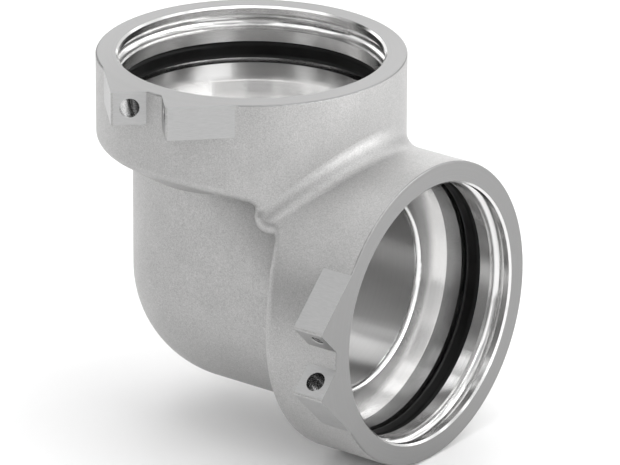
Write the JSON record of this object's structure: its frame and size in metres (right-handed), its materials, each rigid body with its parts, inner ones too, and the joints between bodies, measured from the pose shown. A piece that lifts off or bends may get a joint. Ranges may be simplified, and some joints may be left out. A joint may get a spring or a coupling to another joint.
{
  "type": "elbow fitting",
  "caption": "Right-angle pipe elbow, a cast body with equal machined push-in sockets, each with a seal ring, a lock wire groove and a pair of lugs.",
  "frame": {"origin": "the point where the two socket axes cross", "axes": "+Z out of the upper socket, +X out of the side socket, the lugs face -Y"},
  "size_m": [0.1153, 0.101, 0.1153],
  "materials": {
    "cast_aluminium": "bead-blasted casting, turned sockets",
    "seal_rubber": "smooth"
  },
  "bodies": {
    "root": {"elbow_body": "cast_aluminium", "top_seal_ring": "seal_rubber", "side_seal_ring": "seal_rubber"}
  },
  "joints": []
}
